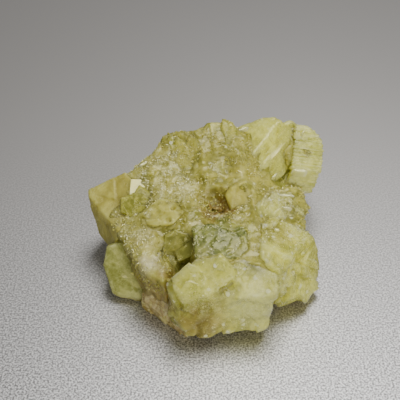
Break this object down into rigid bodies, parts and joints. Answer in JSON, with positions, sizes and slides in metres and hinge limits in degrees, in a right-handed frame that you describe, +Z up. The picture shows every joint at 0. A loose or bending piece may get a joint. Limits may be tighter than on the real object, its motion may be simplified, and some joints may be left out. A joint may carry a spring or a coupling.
{
  "type": "brazilianite crystal cluster",
  "caption": "Natural cluster of blocky and prismatic yellow-green crystals grown together on a massive sugary ground, cut flat below so that it rests on its base.",
  "frame": {"origin": "centre of the cluster's bounding box, on the flat cut that it rests on", "axes": "+X to the right along the longest side, with the front blocks facing -Y; +Z up, square to the flat cut"},
  "size_m": [0.0438, 0.0412, 0.0216],
  "materials": {
    "milky_crystal": "satin",
    "yellow_crystal": "satin",
    "clear_green_crystal": "gloss",
    "feldspar": "matte",
    "sugary_ground": "matte"
  },
  "bodies": {
    "root": {"front_block_crystals": "milky_crystal", "frosted_middle_crystal": "milky_crystal", "right_block_crystals": "milky_crystal", "right_frosted_crystal": "milky_crystal", "left_plate_crystal": "yellow_crystal", "slab_crystal": "yellow_crystal", "tan_prism_crystal": "yellow_crystal", "peak_crystals": "yellow_crystal", "upper_prism_crystals": "yellow_crystal", "striated_end_crystal": "yellow_crystal", "green_corner_crystal": "clear_green_crystal", "small_glassy_crystal": "clear_green_crystal", "pocket_crystal": "clear_green_crystal", "feldspar_matrix": "feldspar", "ground_mass": "sugary_ground"}
  },
  "joints": []
}
